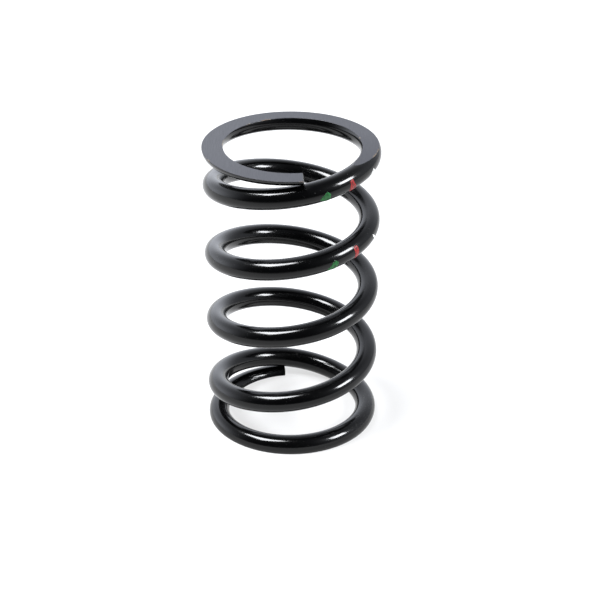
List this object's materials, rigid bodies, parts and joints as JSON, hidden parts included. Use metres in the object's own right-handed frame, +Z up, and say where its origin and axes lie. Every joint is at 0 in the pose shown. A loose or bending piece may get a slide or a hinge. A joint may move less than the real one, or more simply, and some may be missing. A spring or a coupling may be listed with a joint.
{
  "type": "coil spring",
  "caption": "Compression coil spring of round black-painted wire with closed ends, both ground flat, for a vehicle suspension.",
  "frame": {"origin": "on the coil axis, in the plane of the bottom ground seat", "axes": "+Z up the coil axis from the bottom ground seat to the top ground seat; the bottom tip lies 98 degrees from +X towards +Y"},
  "size_m": [0.101, 0.101, 0.175],
  "materials": {
    "wire_paint": "gloss black paint on spring steel",
    "ground_end_paint": "gloss black paint, satin dark grey on the ground face",
    "green_paint": "matt green identification paint",
    "red_paint": "matt red identification paint",
    "white_paint": "matt white identification paint"
  },
  "bodies": {
    "bottom_end": {"coil_1_arc_1": "ground_end_paint", "coil_1_arc_2": "ground_end_paint", "coil_1_arc_3": "ground_end_paint", "coil_1_arc_4": "ground_end_paint", "coil_1_arc_5": "ground_end_paint", "coil_1_arc_6": "ground_end_paint", "coil_1_arc_7": "ground_end_paint", "coil_1_arc_8": "ground_end_paint", "coil_2_arc_1": "wire_paint"},
    "coil_2_arc_2_body": {"coil_2_arc_2": "wire_paint"},
    "coil_2_arc_3_body": {"coil_2_arc_3": "wire_paint"},
    "coil_2_arc_4_body": {"coil_2_arc_4": "wire_paint"},
    "coil_2_arc_5_body": {"coil_2_arc_5": "wire_paint"},
    "coil_2_arc_6_body": {"coil_2_arc_6": "wire_paint"},
    "coil_2_arc_7_body": {"coil_2_arc_7": "wire_paint"},
    "coil_2_arc_8_body": {"coil_2_arc_8": "wire_paint"},
    "coil_3_arc_1_body": {"coil_3_arc_1": "wire_paint"},
    "coil_3_arc_2_body": {"coil_3_arc_2": "wire_paint"},
    "coil_3_arc_3_body": {"coil_3_arc_3": "wire_paint"},
    "coil_3_arc_4_body": {"coil_3_arc_4": "wire_paint"},
    "coil_3_arc_5_body": {"coil_3_arc_5": "wire_paint"},
    "coil_3_arc_6_body": {"coil_3_arc_6": "wire_paint"},
    "coil_3_arc_7_body": {"coil_3_arc_7": "wire_paint"},
    "coil_3_arc_8_body": {"coil_3_arc_8": "wire_paint"},
    "coil_4_arc_1_body": {"coil_4_arc_1": "wire_paint"},
    "coil_4_arc_2_body": {"coil_4_arc_2": "wire_paint"},
    "coil_4_arc_3_body": {"coil_4_arc_3": "wire_paint"},
    "coil_4_arc_4_body": {"coil_4_arc_4": "wire_paint"},
    "coil_4_arc_5_body": {"coil_4_arc_5": "wire_paint", "green_mark_lower": "green_paint", "red_mark_lower": "red_paint"},
    "coil_4_arc_6_body": {"coil_4_arc_6": "wire_paint", "white_mark_lower": "white_paint"},
    "coil_4_arc_7_body": {"coil_4_arc_7": "wire_paint"},
    "coil_4_arc_8_body": {"coil_4_arc_8": "wire_paint"},
    "coil_5_arc_1_body": {"coil_5_arc_1": "wire_paint"},
    "coil_5_arc_2_body": {"coil_5_arc_2": "wire_paint"},
    "coil_5_arc_3_body": {"coil_5_arc_3": "wire_paint"},
    "top_end": {"coil_5_arc_4": "wire_paint", "coil_5_arc_5": "ground_end_paint", "coil_5_arc_6": "ground_end_paint", "coil_5_arc_7": "ground_end_paint", "coil_5_arc_8": "ground_end_paint", "coil_6_arc_1": "ground_end_paint", "coil_6_arc_2": "ground_end_paint", "coil_6_arc_3": "ground_end_paint", "coil_6_arc_4": "ground_end_paint", "green_mark_upper": "green_paint", "red_mark_upper": "red_paint", "white_mark_upper": "white_paint"}
  },
  "joints": [
    {"name": "compression", "type": "slide", "parent": "bottom_end", "child": "top_end", "axis": [0, 0, 1], "range_m": [-0.095, 0], "stiffness_N_per_m": 75000},
    {"name": "coil_2_arc_2_slide", "type": "slide", "parent": "bottom_end", "child": "coil_2_arc_2_body", "axis": [0, 0, 1], "range_m": [-0.00283, 0.001]},
    {"name": "coil_2_arc_3_slide", "type": "slide", "parent": "bottom_end", "child": "coil_2_arc_3_body", "axis": [0, 0, 1], "range_m": [-0.00648, 0.001]},
    {"name": "coil_2_arc_4_slide", "type": "slide", "parent": "bottom_end", "child": "coil_2_arc_4_body", "axis": [0, 0, 1], "range_m": [-0.01013, 0.001]},
    {"name": "coil_2_arc_5_slide", "type": "slide", "parent": "bottom_end", "child": "coil_2_arc_5_body", "axis": [0, 0, 1], "range_m": [-0.01379, 0.001]},
    {"name": "coil_2_arc_6_slide", "type": "slide", "parent": "bottom_end", "child": "coil_2_arc_6_body", "axis": [0, 0, 1], "range_m": [-0.01744, 0.001]},
    {"name": "coil_2_arc_7_slide", "type": "slide", "parent": "bottom_end", "child": "coil_2_arc_7_body", "axis": [0, 0, 1], "range_m": [-0.0211, 0.001]},
    {"name": "coil_2_arc_8_slide", "type": "slide", "parent": "bottom_end", "child": "coil_2_arc_8_body", "axis": [0, 0, 1], "range_m": [-0.02475, 0.001]},
    {"name": "coil_3_arc_1_slide", "type": "slide", "parent": "bottom_end", "child": "coil_3_arc_1_body", "axis": [0, 0, 1], "range_m": [-0.0284, 0.001]},
    {"name": "coil_3_arc_2_slide", "type": "slide", "parent": "bottom_end", "child": "coil_3_arc_2_body", "axis": [0, 0, 1], "range_m": [-0.03206, 0.001]},
    {"name": "coil_3_arc_3_slide", "type": "slide", "parent": "bottom_end", "child": "coil_3_arc_3_body", "axis": [0, 0, 1], "range_m": [-0.03571, 0.001]},
    {"name": "coil_3_arc_4_slide", "type": "slide", "parent": "bottom_end", "child": "coil_3_arc_4_body", "axis": [0, 0, 1], "range_m": [-0.03937, 0.001]},
    {"name": "coil_3_arc_5_slide", "type": "slide", "parent": "bottom_end", "child": "coil_3_arc_5_body", "axis": [0, 0, 1], "range_m": [-0.04302, 0.001]},
    {"name": "coil_3_arc_6_slide", "type": "slide", "parent": "bottom_end", "child": "coil_3_arc_6_body", "axis": [0, 0, 1], "range_m": [-0.04667, 0.001]},
    {"name": "coil_3_arc_7_slide", "type": "slide", "parent": "bottom_end", "child": "coil_3_arc_7_body", "axis": [0, 0, 1], "range_m": [-0.05033, 0.001]},
    {"name": "coil_3_arc_8_slide", "type": "slide", "parent": "bottom_end", "child": "coil_3_arc_8_body", "axis": [0, 0, 1], "range_m": [-0.05398, 0.001]},
    {"name": "coil_4_arc_1_slide", "type": "slide", "parent": "bottom_end", "child": "coil_4_arc_1_body", "axis": [0, 0, 1], "range_m": [-0.05763, 0.001]},
    {"name": "coil_4_arc_2_slide", "type": "slide", "parent": "bottom_end", "child": "coil_4_arc_2_body", "axis": [0, 0, 1], "range_m": [-0.06129, 0.001]},
    {"name": "coil_4_arc_3_slide", "type": "slide", "parent": "bottom_end", "child": "coil_4_arc_3_body", "axis": [0, 0, 1], "range_m": [-0.06494, 0.001]},
    {"name": "coil_4_arc_4_slide", "type": "slide", "parent": "bottom_end", "child": "coil_4_arc_4_body", "axis": [0, 0, 1], "range_m": [-0.0686, 0.001]},
    {"name": "coil_4_arc_5_slide", "type": "slide", "parent": "bottom_end", "child": "coil_4_arc_5_body", "axis": [0, 0, 1], "range_m": [-0.07225, 0.001]},
    {"name": "coil_4_arc_6_slide", "type": "slide", "parent": "bottom_end", "child": "coil_4_arc_6_body", "axis": [0, 0, 1], "range_m": [-0.0759, 0.001]},
    {"name": "coil_4_arc_7_slide", "type": "slide", "parent": "bottom_end", "child": "coil_4_arc_7_body", "axis": [0, 0, 1], "range_m": [-0.07956, 0.001]},
    {"name": "coil_4_arc_8_slide", "type": "slide", "parent": "bottom_end", "child": "coil_4_arc_8_body", "axis": [0, 0, 1], "range_m": [-0.08321, 0.001]},
    {"name": "coil_5_arc_1_slide", "type": "slide", "parent": "bottom_end", "child": "coil_5_arc_1_body", "axis": [0, 0, 1], "range_m": [-0.08687, 0.001]},
    {"name": "coil_5_arc_2_slide", "type": "slide", "parent": "bottom_end", "child": "coil_5_arc_2_body", "axis": [0, 0, 1], "range_m": [-0.09052, 0.001]},
    {"name": "coil_5_arc_3_slide", "type": "slide", "parent": "bottom_end", "child": "coil_5_arc_3_body", "axis": [0, 0, 1], "range_m": [-0.09417, 0.001]}
  ],
  "couplings": [
    {"joint": "coil_2_arc_2_slide", "follows": "compression", "ratio": 0.01923},
    {"joint": "coil_2_arc_3_slide", "follows": "compression", "ratio": 0.05769},
    {"joint": "coil_2_arc_4_slide", "follows": "compression", "ratio": 0.09615},
    {"joint": "coil_2_arc_5_slide", "follows": "compression", "ratio": 0.13462},
    {"joint": "coil_2_arc_6_slide", "follows": "compression", "ratio": 0.17308},
    {"joint": "coil_2_arc_7_slide", "follows": "compression", "ratio": 0.21154},
    {"joint": "coil_2_arc_8_slide", "follows": "compression", "ratio": 0.25},
    {"joint": "coil_3_arc_1_slide", "follows": "compression", "ratio": 0.28846},
    {"joint": "coil_3_arc_2_slide", "follows": "compression", "ratio": 0.32692},
    {"joint": "coil_3_arc_3_slide", "follows": "compression", "ratio": 0.36538},
    {"joint": "coil_3_arc_4_slide", "follows": "compression", "ratio": 0.40385},
    {"joint": "coil_3_arc_5_slide", "follows": "compression", "ratio": 0.44231},
    {"joint": "coil_3_arc_6_slide", "follows": "compression", "ratio": 0.48077},
    {"joint": "coil_3_arc_7_slide", "follows": "compression", "ratio": 0.51923},
    {"joint": "coil_3_arc_8_slide", "follows": "compression", "ratio": 0.55769},
    {"joint": "coil_4_arc_1_slide", "follows": "compression", "ratio": 0.59615},
    {"joint": "coil_4_arc_2_slide", "follows": "compression", "ratio": 0.63462},
    {"joint": "coil_4_arc_3_slide", "follows": "compression", "ratio": 0.67308},
    {"joint": "coil_4_arc_4_slide", "follows": "compression", "ratio": 0.71154},
    {"joint": "coil_4_arc_5_slide", "follows": "compression", "ratio": 0.75},
    {"joint": "coil_4_arc_6_slide", "follows": "compression", "ratio": 0.78846},
    {"joint": "coil_4_arc_7_slide", "follows": "compression", "ratio": 0.82692},
    {"joint": "coil_4_arc_8_slide", "follows": "compression", "ratio": 0.86538},
    {"joint": "coil_5_arc_1_slide", "follows": "compression", "ratio": 0.90385},
    {"joint": "coil_5_arc_2_slide", "follows": "compression", "ratio": 0.94231},
    {"joint": "coil_5_arc_3_slide", "follows": "compression", "ratio": 0.98077}
  ]
}
